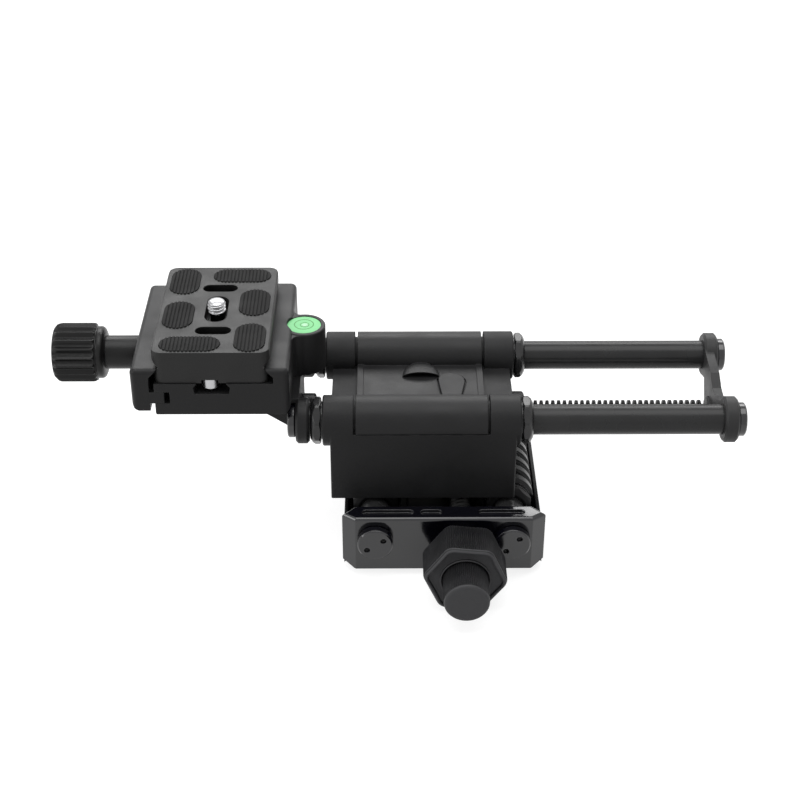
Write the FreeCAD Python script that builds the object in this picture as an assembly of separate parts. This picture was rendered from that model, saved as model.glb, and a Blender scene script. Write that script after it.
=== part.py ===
import FreeCAD, Part
import math
import os
from FreeCAD import Vector

# Macro focusing rail, in millimetres.
# +X runs to the right along the upper rail, +Y runs back along the lower rail, +Z is up.
# The origin is the tripod socket's centre, in the base plate's bottom face.

# ---- driving dimensions: shared ----
TUBE_R = 5.2                # guide tubes, all four
BORE_R = 5.25               # running bore of the liner bushes
LINER_R = 6.2               # outside of the liner bushes
LINER_LENGTH = 14.0
NUT_CORNER_R = 8.3
NUT_FLATS = 15.6            # across flats
NUT_THICK = 3.6
NUT_NECK = (6.6, 0.6)       # radius and length
RING_R = 8.0                # rings of the three tube brackets
CAP_R, CAP_THICK = 5.9, 2.8
PIN_HOLE_R = 1.05

# ---- driving dimensions: lower rail ----
RAIL_FRONT, RAIL_BACK = -62.0, 62.0
LOWER_TUBE_X = 23.6
LOWER_TUBE_Z = 12.5
LOWER_CAP_R, LOWER_CAP_THICK = 6.15, 3.2
PLATE_HALF_WIDTH = 35.0
PLATE_THICK = 8.0
PLATE_HEIGHT = 21.5
PLATE_FACE_HALF = 30.4      # flat front face, between the side bevels
PLATE_RIDGE = 3.3           # the side's ridge lies this far behind the front face
PLATE_CORNER = (4.0, 2.0)   # bottom corners cut off, width and height at the side's ridge
TONGUE_HALF = 25.4          # base plate's tongue in the front plate's rebate
REAR_BRACKET_THICK = 5.0
FLOOR_THICK = 3.0           # base plate's floor
BASE_THICK = 4.6            # base plate's raised middle
BASE_MIDDLE = 12.0
WALL_X = (33.1, 34.55)      # low side walls of the base plate
WALL_TOP = 13.0
WALL_BACK = 28.0
BASE_TAPER_START = 40.0
BASE_TAIL = (-14.0, 20.0)
SOCKET_R = 3.25             # 1/4 inch tripod thread
SCREW_X, SCREW_Z = 6.7, 10.8
LEAD_R = 4.0
LEAD = 2.0
JOURNAL_R = 3.0
DRIVE_KNOB_Y = (-82.2, -67.2)
DRIVE_CORNER_R = 14.3
LOCK_KNOB_Y = (-94.3, -78.6)
LOCK_KNOB_R = 7.7

# ---- driving dimensions: carriage ----
BARREL_X = (-41.6, 26.65)   # ends of the upper bearing barrels
BLOCK_X = (-39.0, 25.1)     # ends of the deck and skirts
SADDLE_Y = -16.4            # middle of the two upper tubes
TUBE_SPACING = 43.2
UPPER_Z = 46.2
BARREL_R = 8.8              # upper bearing barrels
LOWER_BARREL_R = 9.1
LOWER_RIBS = 8
SKIRT_THICK = 2.0
SKIRT_BOTTOM = 19.3
DECK = (40.0, 45.7)
COVER = (-30.1, 15.0)
COVER_GAP = 1.0
COVER_THICK = 1.0
GAP_R = 6.85                # bottom of the grooves at the cover's ends
COVER_FLOOR = 47.2
COVER_RIM = 2.2
COVER_LINE = 0.3            # joint line under the cover's long edges
THUMB_RISE = 0.7
HOOD = (6.7, 9.8, 2.2)      # half-axes of the hood's dome
HOOD_X = -7.2
HOOD_MOUTH = SADDLE_Y + 4.6
ROD_GUIDE_R = 6.9
ROD_GUIDE_END = 29.6
BRIDGE = (17.5, 22.4)
GEAR_MODULE = 0.67
PINION_TEETH = 12
PINION_X = 3.5
PINION_SHAFT_R = 2.5
WEB_X = (-13.0, 14.0)
FOCUS_KNOB_LENGTH = 12.0

# ---- driving dimensions: upper rail and head ----
HEAD_RING = (-50.8, -46.2)
END_RING = (96.5, 101.4)
END_WEB_END = 99.7
ROD_BOSS_START = 95.4
HEAD_WEB_END = -49.7
ROD_END = 99.8
ROD_Z = 36.0
ROD_TIP_R = 3.6
ROD_ROOT_R = 2.2
CLAMP_X = -78.2             # middle of the quick release plate
CLAMP_BODY_Y = (-46.4, 15.3)
CLAMP_JAW_Y = (-46.4, 14.0)
CLAMP_BOTTOM = 54.3
CLAMP_FLOOR = 66.3
JAW_TOP = 71.6
DOVETAIL_HALF = 19.0        # 38 mm camera dovetail
CLAMP_AXIS_Z = 60.9
CLAMP_EDGE_R = 1.8           # rounding of the clamp's top edges
PLATE_Y = (-45.9, 13.85)
PLATE_BOTTOM, PLATE_TOP = 66.4, 78.2
LEVEL = (-48.4, -14.4)
LEVEL_TOP = 70.7
LEVEL_R = 5.95
CLAMP_SCREW_R = 3.0
CAMERA_SCREW_R = 3.175      # 1/4 inch
CAMERA_NECK_R = 2.45
CAMERA_THREAD = (78.35, 80.9)
SCREW_LEDGE = (70.4, 73.5)  # ledge in the plate that holds the camera screw's head down
PAD_SEAT = 0.8
TONGUE = (58.7, 63.0)       # height of the jaw's tongue
STOP_SCREW = (-78.65, -43.1)
STOP_SCREW_R = 2.75

FRONT_Y = SADDLE_Y - TUBE_SPACING / 2
REAR_Y = SADDLE_Y + TUBE_SPACING / 2
SKIRT_FRONT = FRONT_Y - BARREL_R
SKIRT_BACK = REAR_Y + BARREL_R
LOWER_BARREL_Y = (SKIRT_FRONT + 6.6, SKIRT_BACK - 6.6)
GEAR_PITCH = math.pi * GEAR_MODULE
PINION_R = GEAR_MODULE * PINION_TEETH / 2
ROD_PITCH_R = ROD_TIP_R - GEAR_MODULE
PINION_Z = ROD_Z - ROD_PITCH_R - PINION_R
UPPER_TUBES_Y = (FRONT_Y, REAR_Y)
LOWER_TUBES_X = (-LOWER_TUBE_X, LOWER_TUBE_X)
WEBS_Y = ((SADDLE_Y - 13.6, SADDLE_Y - 9.6), (SADDLE_Y + 9.4, SADDLE_Y + 13.4))
NUT_BLOCK_Y = (SADDLE_Y - 7.0, SADDLE_Y + 7.0)
FOCUS_KNOB_Y = (SKIRT_BACK + 1.0, SKIRT_BACK + 1.0 + FOCUS_KNOB_LENGTH)
GUIDE_PINS_Y = (SADDLE_Y - 20.0, SADDLE_Y + 20.0)

# ---- screws, as (x, y) or (x, y, length), and pads, as (x, y, width, length) ----
BASE_SCREWS = [(-21.5, -56.4, 6.4), (21.5, -56.4, 6.4), (-9.0, 59.5, 8.5), (16.5, 59.5, 8.5)]
SADDLE_SCREWS = [(x, (y0 + y1) / 2) for x in (-9.5, 11.0) for y0, y1 in WEBS_Y]
NUT_SCREWS = [(SCREW_X + dx, SADDLE_Y) for dx in (-4.6, 4.6)]
HEAD_SCREWS = [(-66.0, SADDLE_Y - 9.0), (-66.0, SADDLE_Y + 9.0)]
PADS = []
for side in (-1, 1):
    PADS += [(CLAMP_X + side * 12.8, SADDLE_Y - side * 19.6, 10.4, 18.4),
             (CLAMP_X + side * 12.8, SADDLE_Y + side * 4.3, 10.4, 18.4),
             (CLAMP_X + side * 7.1, SADDLE_Y + side * 23.8, 20.4, 9.4)]

# ---- outlines: the rise on the cover as (x, y), the end bracket's web as (y, z) ----
THUMB = [(0.1, -29.8), (-0.2, -23.4), (-1.1, -14.8), (-0.9, -12.2), (0.5, -10.3), (2.6, -9.6),
         (5.2, -10.0), (7.3, -11.6), (8.4, -14.2), (8.3, -16.4), (7.1, -23.4), (6.5, -29.8)]
END_WEB = [(5.2, 52.5), (-2.0, 50.8), (-9.3, 50.0), (-12.7, 49.4), (-15.7, 48.0), (-18.5, 46.6),
           (-23.0, 46.2), (-28.0, 48.0), (-38.0, 52.5), (-38.0, 39.9), (-30.5, 41.5), (-25.0, 35.0),
           (-21.5, 31.0), (-11.3, 31.0), (-7.8, 35.0), (-3.5, 41.5), (5.2, 39.9)]

AXIS_X, AXIS_Y, AXIS_Z = Vector(1, 0, 0), Vector(0, 1, 0), Vector(0, 0, 1)


# ---- construction helpers ----
def block(x0, x1, y0, y1, z0, z1):
    return Part.makeBox(x1 - x0, y1 - y0, z1 - z0, Vector(x0, y0, z0))


def along_x(radius, x0, x1, y, z):
    return Part.makeCylinder(radius, x1 - x0, Vector(x0, y, z), AXIS_X)


def along_y(radius, y0, y1, x, z):
    return Part.makeCylinder(radius, y1 - y0, Vector(x, y0, z), AXIS_Y)


def along_z(radius, z0, z1, x, y):
    return Part.makeCylinder(radius, z1 - z0, Vector(x, y, z0), AXIS_Z)


def join(first, *others):
    return first.multiFuse(list(others)).removeSplitter()


def cut(shape, *tools):
    for tool in tools:
        shape = shape.cut(tool)
    return shape


def prism(points, sweep):
    """Solid swept from a closed outline of 3-D points."""
    outline = Part.makePolygon(points + [points[0]])
    return Part.Face(outline).extrude(sweep)


def turned(profile, origin, direction):
    """Solid of revolution; profile is (distance along, radius) from one end to the other."""
    ends = [(profile[0][0], 0.0)] + list(profile) + [(profile[-1][0], 0.0)]
    points = [Vector(a, r, 0) for a, r in ends]
    solid = Part.Face(Part.makePolygon(points + [points[0]])).revolve(Vector(), AXIS_X, 360)
    solid.Placement = FreeCAD.Placement(origin, FreeCAD.Rotation(AXIS_X, direction))
    return solid


def chamfered(radius, length, edge, origin, direction):
    """Round bar with both end edges chamfered."""
    profile = [(0, radius - edge), (edge, radius), (length - edge, radius), (length, radius - edge)]
    return turned(profile, origin, direction)


def rounded(shape, radius, wanted):
    """Fillet the edges for which wanted(edge) is true."""
    edges = [edge for edge in shape.Edges if wanted(edge)]
    return shape.makeFillet(radius, edges)


def stadium(x, y, width, length, z0, z1):
    """Slot-shaped prism: width along X, length along Y, with fully rounded short ends."""
    radius = min(width, length) / 2
    dx, dy = width / 2 - radius, length / 2 - radius
    if dx > dy:
        ends = [along_z(radius, z0, z1, x - dx, y), along_z(radius, z0, z1, x + dx, y)]
        middle = block(x - dx, x + dx, y - radius, y + radius, z0, z1)
    else:
        ends = [along_z(radius, z0, z1, x, y - dy), along_z(radius, z0, z1, x, y + dy)]
        middle = block(x - radius, x + radius, y - dy, y + dy, z0, z1)
    return join(ends[0], ends[1], middle)


def is_parallel(edge, direction):
    """True for a straight edge along the direction."""
    if not isinstance(edge.Curve, (Part.Line, Part.LineSegment)):
        return False
    span = edge.Vertexes[-1].Point - edge.Vertexes[0].Point
    return span.Length > 1e-6 and span.normalize().cross(direction).Length < 1e-4


def save(node, *solids):
    shape = solids[0] if len(solids) == 1 else Part.makeCompound(list(solids))
    for solid in shape.Solids:
        if not solid.isValid():
            raise RuntimeError("invalid solid in " + node)
    shape.exportStep("parts/" + node + ".step")
    box = shape.BoundBox
    print("%-22s %d solid(s) x %.1f..%.1f y %.1f..%.1f z %.1f..%.1f" % (
        node, len(shape.Solids), box.XMin, box.XMax, box.YMin, box.YMax, box.ZMin, box.ZMax))


# ---- fasteners and small turned pieces ----
def faceted_nut(origin, direction):
    """Octagonal nut on a short neck, domed at its outer end; it clears the tube by 0.3 mm."""
    sides = 8
    neck_r, start = NUT_NECK
    end = start + NUT_THICK
    corner = NUT_FLATS / 2 / math.cos(math.pi / sides)
    angles = [2 * math.pi * (i + 0.5) / sides for i in range(sides)]
    outline = [Vector(start, corner * math.cos(a), corner * math.sin(a)) for a in angles]
    nut = prism(outline, Vector(NUT_THICK, 0, 0))
    nut.Placement = FreeCAD.Placement(origin, FreeCAD.Rotation(AXIS_X, direction))
    rim = [(start, NUT_CORNER_R - 0.6), (start + 0.5, NUT_CORNER_R), (end - 1.7, NUT_CORNER_R),
           (end - 0.7, NUT_CORNER_R - 0.8), (end, NUT_CORNER_R - 2.0)]
    nut = nut.common(turned(rim, origin, direction))
    neck = Part.makeCylinder(neck_r, start + 0.5, origin, direction)
    bore = Part.makeCylinder(TUBE_R + 0.3, end + 1, origin - direction * 0.5, direction)
    return join(nut, neck).cut(bore)


def tube_cap(origin, direction, pin_angle, radius, thick):
    """Disc that closes a tube end, with two blind pin holes for a pin spanner."""
    disc = chamfered(radius, thick, 0.5, origin, direction)
    plane_a = AXIS_Z.cross(direction)
    for side in (-1, 1):
        angle = math.radians(pin_angle)
        offset = plane_a * (side * 3.4 * math.cos(angle)) + AXIS_Z * (side * 3.4 * math.sin(angle))
        start = origin + offset + direction * (thick - 1.4)
        disc = disc.cut(Part.makeCylinder(PIN_HOLE_R, 2.0, start, direction))
    return disc


def countersunk_screw(x, y, z_head, up, length):
    """Screw whose flat head lies flush at z_head; up is +1 or -1, the way it points."""
    return turned([(0, 2.9), (1.5, 1.5), (length, 1.5)], Vector(x, y, z_head), AXIS_Z * up)


def countersunk_hole(x, y, z_head, up, length):
    return turned([(-0.1, 3.0), (0, 3.0), (1.5, 1.55), (length + 0.2, 1.55)],
                  Vector(x, y, z_head), AXIS_Z * up)


def grooved_knob(radius, length, grooves, groove_r, edge, origin, direction):
    """Round knob with axial grooves all round."""
    knob = chamfered(radius, length, edge, origin, direction)
    side_a = direction.cross(AXIS_Z if abs(direction.z) < 0.5 else AXIS_X)
    side_b = direction.cross(side_a)
    cutters = []
    for i in range(grooves):
        angle = 2 * math.pi * i / grooves
        centre = side_a * math.cos(angle) + side_b * math.sin(angle)
        start = origin + centre * (radius + groove_r * 0.35) - direction * 0.5
        cutters.append(Part.makeCylinder(groove_r, length + 1, start, direction))
    return knob.cut(Part.makeCompound(cutters))


# ---- lower rail ----
def front_end_plate():
    """Plate with bevelled sides, shallow pockets in its top and a rebate for the base plate."""
    back = RAIL_FRONT + PLATE_THICK
    ridge = RAIL_FRONT + PLATE_RIDGE
    right = [(PLATE_FACE_HALF, RAIL_FRONT), (PLATE_HALF_WIDTH, ridge), (PLATE_FACE_HALF, back)]
    outline = right + [(-x, y) for x, y in reversed(right)]
    plate = prism([Vector(x, y, 0) for x, y in outline], Vector(0, 0, PLATE_HEIGHT))
    width, height = PLATE_CORNER
    for side in (-1, 1):
        foot, reach = side * (PLATE_HALF_WIDTH - 2 * width), side * (PLATE_HALF_WIDTH + 2 * width)
        corner = prism([Vector(reach, RAIL_FRONT - 1, -height), Vector(foot, RAIL_FRONT - 1, -height),
                        Vector(reach, RAIL_FRONT - 1, 3 * height)], Vector(0, PLATE_THICK + 2, 0))
        plate = plate.cut(corner)
    plate = rounded(plate, 1.3, lambda e: all(abs(v.Point.z - PLATE_HEIGHT) < 1e-6 for v in e.Vertexes))
    for x0, x1 in ((-28.1, -10.4), (-8.0, -0.6), (12.0, 27.8)):
        plate = plate.cut(stadium((x0 + x1) / 2, RAIL_FRONT + 3.9, x1 - x0, 2.8,
                                  PLATE_HEIGHT - 1.2, PLATE_HEIGHT + 1))
    half = TONGUE_HALF + 0.1
    plate = plate.cut(block(-half, half, back - 5.8, back + 1, -1, FLOOR_THICK))
    for x in LOWER_TUBES_X:
        plate = plate.cut(along_y(TUBE_R, RAIL_FRONT - 1, back + 1, x, LOWER_TUBE_Z))
    plate = plate.cut(along_y(5.0, RAIL_FRONT - 1, back + 1, SCREW_X, SCREW_Z))
    for x, y, length in BASE_SCREWS[:2]:
        plate = plate.cut(along_z(1.5, 0, length, x, y))
    return plate


def side_wall(side):
    """Low wall along one side of the base plate; its front end follows the front plate's bevel."""
    inner, outer = WALL_X
    ridge = RAIL_FRONT + PLATE_RIDGE + 0.1
    slope = (PLATE_THICK - PLATE_RIDGE) / (PLATE_HALF_WIDTH - PLATE_FACE_HALF)
    ends = [(x, ridge + (PLATE_HALF_WIDTH - x) * slope) for x in (inner, outer)]
    outline = ends + [(outer, WALL_BACK), (inner, WALL_BACK)]
    wall = prism([Vector(side * x, y, 0) for x, y in outline], Vector(0, 0, WALL_TOP))
    return rounded(wall, 0.4, lambda e: is_parallel(e, AXIS_Y)
                   and abs(e.Vertexes[0].Point.z - WALL_TOP) < 1e-6)


def base_plate():
    """Shallow channel: a floor with a raised middle, low side walls, a tongue and a tail."""
    front = RAIL_FRONT + PLATE_THICK
    half = WALL_X[1]
    outline = [(-half, front), (half, front), (half, BASE_TAPER_START), (BASE_TAIL[1], RAIL_BACK),
               (BASE_TAIL[0], RAIL_BACK), (-half, BASE_TAPER_START)]
    plate = prism([Vector(x, y, 0) for x, y in outline], Vector(0, 0, FLOOR_THICK))
    tongue = block(-TONGUE_HALF, TONGUE_HALF, front - 5.7, front + 1, 0, FLOOR_THICK)
    middle = block(-BASE_MIDDLE, BASE_MIDDLE, front, RAIL_BACK - REAR_BRACKET_THICK - 0.5, 0, BASE_THICK)
    plate = join(plate, tongue, middle, side_wall(-1), side_wall(1))
    plate = plate.cut(along_z(5.5, -1, BASE_THICK + 1, 0, 0))
    for x, y, length in BASE_SCREWS:
        plate = plate.cut(countersunk_hole(x, y, 0, 1, length))
    return plate


def tube_bracket(centres, thick, web_half, web):
    """Two rings joined by a waisted web, drawn in the plane across the tubes.

    centres are the two tube centres on the first axis; the result lies in 0..thick along X,
    with the first axis along Y and the second along Z; web is the web's extent along X.
    """
    rings = [chamfered(RING_R, thick, 0.8, Vector(0, c, 0), AXIS_X) for c in centres]
    low, high = centres
    upper = [(low, RING_R - 1.2), (low + 4.5, RING_R - 2.6), (low + 9, web_half), (high - 9, web_half),
             (high - 4.5, RING_R - 2.6), (high, RING_R - 1.2)]
    outline = upper + [(y, -z) for y, z in reversed(upper)]
    plate = prism([Vector(web[0], y, z) for y, z in outline], Vector(web[1] - web[0], 0, 0))
    return join(rings[0], rings[1], plate)


def rear_bracket():
    """Rear end of the lower rail, with the lead screw's rear bearing and a foot."""
    y0 = RAIL_BACK - REAR_BRACKET_THICK
    bracket = tube_bracket(LOWER_TUBES_X, REAR_BRACKET_THICK, 3.6, (0.6, REAR_BRACKET_THICK - 0.6))
    # the drawing plane's Y axis becomes the object's X axis
    bracket.Placement = FreeCAD.Placement(
        Vector(0, RAIL_BACK, LOWER_TUBE_Z), FreeCAD.Rotation(AXIS_Z, -90))
    boss = chamfered(6.0, REAR_BRACKET_THICK, 0.5, Vector(SCREW_X, y0, SCREW_Z), AXIS_Y)
    foot = block(BASE_TAIL[0], BASE_TAIL[1], y0, RAIL_BACK, FLOOR_THICK, LOWER_TUBE_Z)
    bracket = join(bracket, boss, foot)
    for x in LOWER_TUBES_X:
        bracket = bracket.cut(along_y(TUBE_R, y0 - 1, RAIL_BACK + 1, x, LOWER_TUBE_Z))
    bracket = bracket.cut(along_y(JOURNAL_R + 0.05, y0 - 1, RAIL_BACK + 1, SCREW_X, SCREW_Z))
    for x, y, length in BASE_SCREWS[2:]:
        bracket = bracket.cut(along_z(1.5, 0, length, x, y))
    return bracket


def tripod_insert():
    ring = along_z(5.5, 0, BASE_THICK, 0, 0)
    return ring.cut(along_z(SOCKET_R, -1, BASE_THICK + 1, 0, 0))


def lead_screw():
    """Ring-grooved drive screw between plain journals, with a stub for the lock knob."""
    start = RAIL_FRONT + PLATE_THICK + 3.2
    end = RAIL_BACK - REAR_BRACKET_THICK - 0.2
    shoulder = LOCK_KNOB_Y[1] + 0.3
    profile = [(LOCK_KNOB_Y[0] + 1.5, 2.0), (shoulder, 2.0), (shoulder, JOURNAL_R), (start, JOURNAL_R)]
    turns = int((end - start) / LEAD)
    for i in range(turns):
        y = start + i * LEAD
        profile += [(y, LEAD_R - 0.9), (y + 0.55, LEAD_R), (y + 1.25, LEAD_R), (y + 1.8, LEAD_R - 0.9)]
    last = start + turns * LEAD
    profile += [(last, LEAD_R - 0.9), (last, JOURNAL_R), (RAIL_BACK, JOURNAL_R)]
    return turned(profile, Vector(SCREW_X, 0, SCREW_Z), AXIS_Y)


def thrust_collar():
    y0 = RAIL_FRONT + PLATE_THICK + 0.1
    collar = chamfered(5.6, 3.0, 0.4, Vector(SCREW_X, y0, SCREW_Z), AXIS_Y)
    return collar.cut(along_y(JOURNAL_R, y0 - 1, y0 + 4, SCREW_X, SCREW_Z))


def screw_bush():
    """Flanged bush in the front plate."""
    flange = chamfered(7.0, 5.0, 0.5, Vector(SCREW_X, RAIL_FRONT - 5.0, SCREW_Z), AXIS_Y)
    barrel = along_y(5.0, RAIL_FRONT, RAIL_FRONT + PLATE_THICK, SCREW_X, SCREW_Z)
    bore = along_y(JOURNAL_R + 0.05, RAIL_FRONT - 6, RAIL_FRONT + PLATE_THICK + 1, SCREW_X, SCREW_Z)
    return join(flange, barrel).cut(bore)


def hexagon(radius, y0, y1, corner_r):
    """Hexagonal prism round the drive screw's axis, with rounded corners."""
    angles = [math.radians(60 * i - 6) for i in range(6)]
    points = [Vector(SCREW_X + radius * math.cos(a), y0, SCREW_Z + radius * math.sin(a)) for a in angles]
    solid = prism(points, Vector(0, y1 - y0, 0))
    return rounded(solid, corner_r, lambda e: is_parallel(e, AXIS_Y))


def drive_knob():
    """Six-sided knob with rounded corners, a rim round its face and a well for the lock knob."""
    y0, y1 = DRIVE_KNOB_Y
    corner = DRIVE_CORNER_R * 1.035
    length = y1 - y0
    knob = hexagon(corner, y0, y1, 3.8)
    rear_edges = [e for e in knob.Edges if all(abs(v.Point.y - y1) < 1e-6 for v in e.Vertexes)]
    knob = knob.makeChamfer(0.7, rear_edges)
    crown = [(0, DRIVE_CORNER_R - 1.0), (1.0, DRIVE_CORNER_R), (length - 2.0, DRIVE_CORNER_R),
             (length, DRIVE_CORNER_R - 1.5)]
    knob = knob.common(turned(crown, Vector(SCREW_X, y0, SCREW_Z), AXIS_Y))
    knob = knob.cut(hexagon(corner - 1.7, y0 - 1, y0 + 1.0, 3.0))
    collar = along_y(8.6, y0 + 0.2, y0 + 1.5, SCREW_X, SCREW_Z)
    knob = join(knob, collar)
    knob = knob.cut(along_y(LOCK_KNOB_R + 0.3, y0 - 1, LOCK_KNOB_Y[1] + 0.4, SCREW_X, SCREW_Z))
    return knob.cut(along_y(JOURNAL_R, y0 - 1, y1 + 1, SCREW_X, SCREW_Z))


def lock_knob():
    y0, y1 = LOCK_KNOB_Y
    knob = grooved_knob(LOCK_KNOB_R, y1 - y0, 36, 0.45, 0.9, Vector(SCREW_X, y0, SCREW_Z), AXIS_Y)
    return knob.cut(along_y(2.05, y0 + 1.2, y1 + 1, SCREW_X, SCREW_Z))


# ---- carriage ----
def rod_guide():
    """End wall under the deck's right end, with the ring that guides the toothed rod."""
    x1 = BLOCK_X[1]
    wall = block(x1 - 2.6, x1, SADDLE_Y - 7.1, SADDLE_Y + 7.1, ROD_Z - 8.0, DECK[0] + 1)
    ring = chamfered(ROD_GUIDE_R, ROD_GUIDE_END - x1 + 2.0, 0.6, Vector(x1 - 2.0, SADDLE_Y, ROD_Z), AXIS_X)
    return join(wall, ring)


def cover_seat():
    """Space that the top cover takes out of the saddle, with a deeper groove at each end."""
    low, high = COVER
    seat_r = BARREL_R - COVER_THICK - 0.05
    tools = []
    for y in UPPER_TUBES_Y:
        above = block(low - 5, high + 5, y - 20, y + 20, DECK[1], UPPER_Z + 20)
        for a, b, inner in ((low - 0.05, high + 0.05, seat_r), (low - COVER_GAP, low + 0.5, GAP_R),
                            (high - 0.5, high + COVER_GAP, GAP_R)):
            tool = along_x(BARREL_R + 1, a, b, y, UPPER_Z).cut(along_x(inner, a, b, y, UPPER_Z))
            tools.append(tool.common(above))
    return tools


def upper_saddle():
    """Two barrels on a deck, with a skirt down the front and one down the back."""
    x0, x1 = BLOCK_X
    barrels = [chamfered(BARREL_R, BARREL_X[1] - BARREL_X[0], 0.4, Vector(BARREL_X[0], y, UPPER_Z), AXIS_X)
               for y in UPPER_TUBES_Y]
    deck = block(x0, x1, FRONT_Y, REAR_Y, DECK[0], DECK[1])
    skirts = []
    for y0 in (SKIRT_FRONT, SKIRT_BACK - SKIRT_THICK):
        wall = block(x0, x1, y0, y0 + SKIRT_THICK, SKIRT_BOTTOM, UPPER_Z)
        skirts.append(rounded(wall, 0.7, lambda e: is_parallel(e, AXIS_Z)))
    saddle = join(barrels[0], barrels[1], deck, *skirts, rod_guide())
    saddle = cut(saddle, *cover_seat())
    for y in UPPER_TUBES_Y:
        saddle = cut(saddle, along_x(TUBE_R + 0.4, BARREL_X[0] - 1, BARREL_X[1] + 1, y, UPPER_Z),
                     along_x(LINER_R, BARREL_X[0] - 1, BARREL_X[0] + LINER_LENGTH, y, UPPER_Z),
                     along_x(LINER_R, BARREL_X[1] - LINER_LENGTH, BARREL_X[1] + 1, y, UPPER_Z))
    saddle = saddle.cut(along_x(ROD_TIP_R + 0.05, x1 - 5, ROD_GUIDE_END + 1, SADDLE_Y, ROD_Z))
    shaft_hole = along_y(PINION_SHAFT_R + 0.5, SKIRT_BACK - SKIRT_THICK - 1, SKIRT_BACK + 1,
                         PINION_X, PINION_Z)
    saddle = saddle.cut(shaft_hole)
    for x, y in SADDLE_SCREWS:
        saddle = saddle.cut(countersunk_hole(x, y, DECK[1], -1, DECK[1] - DECK[0] + 0.2))
    return saddle


def thumb(spread, low, high):
    """Prism over the rise's outline, widened by spread, from low to high."""
    curve = Part.BSplineCurve()
    curve.interpolate([Vector(x, y, low) for x, y in THUMB])
    points = curve.toShape().discretize(26)
    outline = Part.Face(Part.makePolygon(points + [points[0]]))
    if spread > 0:
        outline = outline.makeOffset2D(spread)
    return outline.extrude(Vector(0, 0, high - low))


def ellipsoid(centre, half_x, half_y, half_z):
    matrix = FreeCAD.Matrix()
    matrix.scale(half_x, half_y, half_z)
    shape = Part.makeSphere(1.0).transformGeometry(matrix)
    shape.translate(centre)
    return shape


def louver(cover):
    """Add the low hood with its lens-shaped opening to the front."""
    centre = Vector(HOOD_X, HOOD_MOUTH, COVER_FLOOR)
    low, high = COVER_FLOOR - 0.5, COVER_FLOOR + 8
    room = block(COVER[0], COVER[1], HOOD_MOUTH, REAR_Y - BARREL_R + COVER_THICK, low, high)
    hood = ellipsoid(centre, *HOOD).common(room)
    reach = block(COVER[0], COVER[1], HOOD_MOUTH - 1, HOOD_MOUTH + 3.5, COVER_FLOOR, high)
    hollow = ellipsoid(centre, HOOD[0] - 0.4, HOOD[1] - 1.0, HOOD[2] - 0.5).common(reach)
    return join(cover, hood).cut(hollow)


def top_cover():
    """Thin shell over both barrels and the valley between them."""
    x0, x1 = COVER
    inner_r = BARREL_R - COVER_THICK
    valley = (FRONT_Y + inner_r, REAR_Y - inner_r)
    pieces = [block(x0, x1, valley[0], valley[1], DECK[1], COVER_FLOOR)]
    for y in UPPER_TUBES_Y:
        above = block(x0, x1, y - 20, y + 20, DECK[1] + COVER_LINE, UPPER_Z + 20)
        pieces.append(along_x(BARREL_R, x0, x1, y, UPPER_Z).common(above))
    for a, b in ((x0, x0 + COVER_RIM), (x1 - COVER_RIM, x1)):
        pieces.append(block(a, b, valley[0], valley[1], COVER_FLOOR - 0.1, COVER_FLOOR + 0.4))
    cover = join(*pieces)
    top = COVER_FLOOR + THUMB_RISE
    rise = rounded(thumb(0.0, COVER_FLOOR - 0.6, top), 0.4,
                   lambda e: all(abs(v.Point.z - top) < 1e-6 for v in e.Vertexes))
    cover = cover.cut(thumb(0.5, COVER_FLOOR - 0.6, COVER_FLOOR + 0.1))
    cover = louver(join(cover, rise))
    for y in UPPER_TUBES_Y:
        cover = cover.cut(along_x(inner_r, x0 - 1, x1 + 1, y, UPPER_Z))
    return cover


def barrel_ribs(length):
    """Profile of a ribbed barrel: broad rings between grooves."""
    pitch = length / LOWER_RIBS
    shape = ((0, 1.3), (0.3, 1.3), (0.36, 0.4), (0.44, 0.0), (0.84, 0.0), (0.92, 0.4))
    profile = []
    for i in range(LOWER_RIBS):
        profile += [((i + along) * pitch, LOWER_BARREL_R - drop) for along, drop in shape]
    return profile + [(length, LOWER_BARREL_R - 1.3)]


def lower_saddle():
    """Two ribbed barrels under a bridge that carries the gear webs."""
    y0, y1 = LOWER_BARREL_Y
    barrels = [turned(barrel_ribs(y1 - y0), Vector(x, y0, LOWER_TUBE_Z), AXIS_Y) for x in LOWER_TUBES_X]
    bridge = block(-LOWER_TUBE_X, LOWER_TUBE_X, y0 + 2, y1 - 2, BRIDGE[0], BRIDGE[1])
    webs = [block(WEB_X[0], WEB_X[1], a, b, BRIDGE[1] - 0.1, DECK[0]) for a, b in WEBS_Y]
    saddle = join(barrels[0], barrels[1], bridge, *webs)
    for x in LOWER_TUBES_X:
        saddle = cut(saddle, along_y(TUBE_R + 0.4, y0 - 1, y1 + 1, x, LOWER_TUBE_Z),
                     along_y(LINER_R, y0 - 1, y0 + LINER_LENGTH, x, LOWER_TUBE_Z),
                     along_y(LINER_R, y1 - LINER_LENGTH, y1 + 1, x, LOWER_TUBE_Z))
    for a, b in WEBS_Y:
        saddle = saddle.cut(along_y(4.0, a - 1, b + 1, PINION_X, PINION_Z))
    for x, y in SADDLE_SCREWS:
        saddle = saddle.cut(along_z(1.5, DECK[0] - 8.5, DECK[0] + 1, x, y))
    for x, y in NUT_SCREWS:
        saddle = saddle.cut(countersunk_hole(x, y, BRIDGE[1], -1, BRIDGE[1] - BRIDGE[0]))
    return saddle


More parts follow.
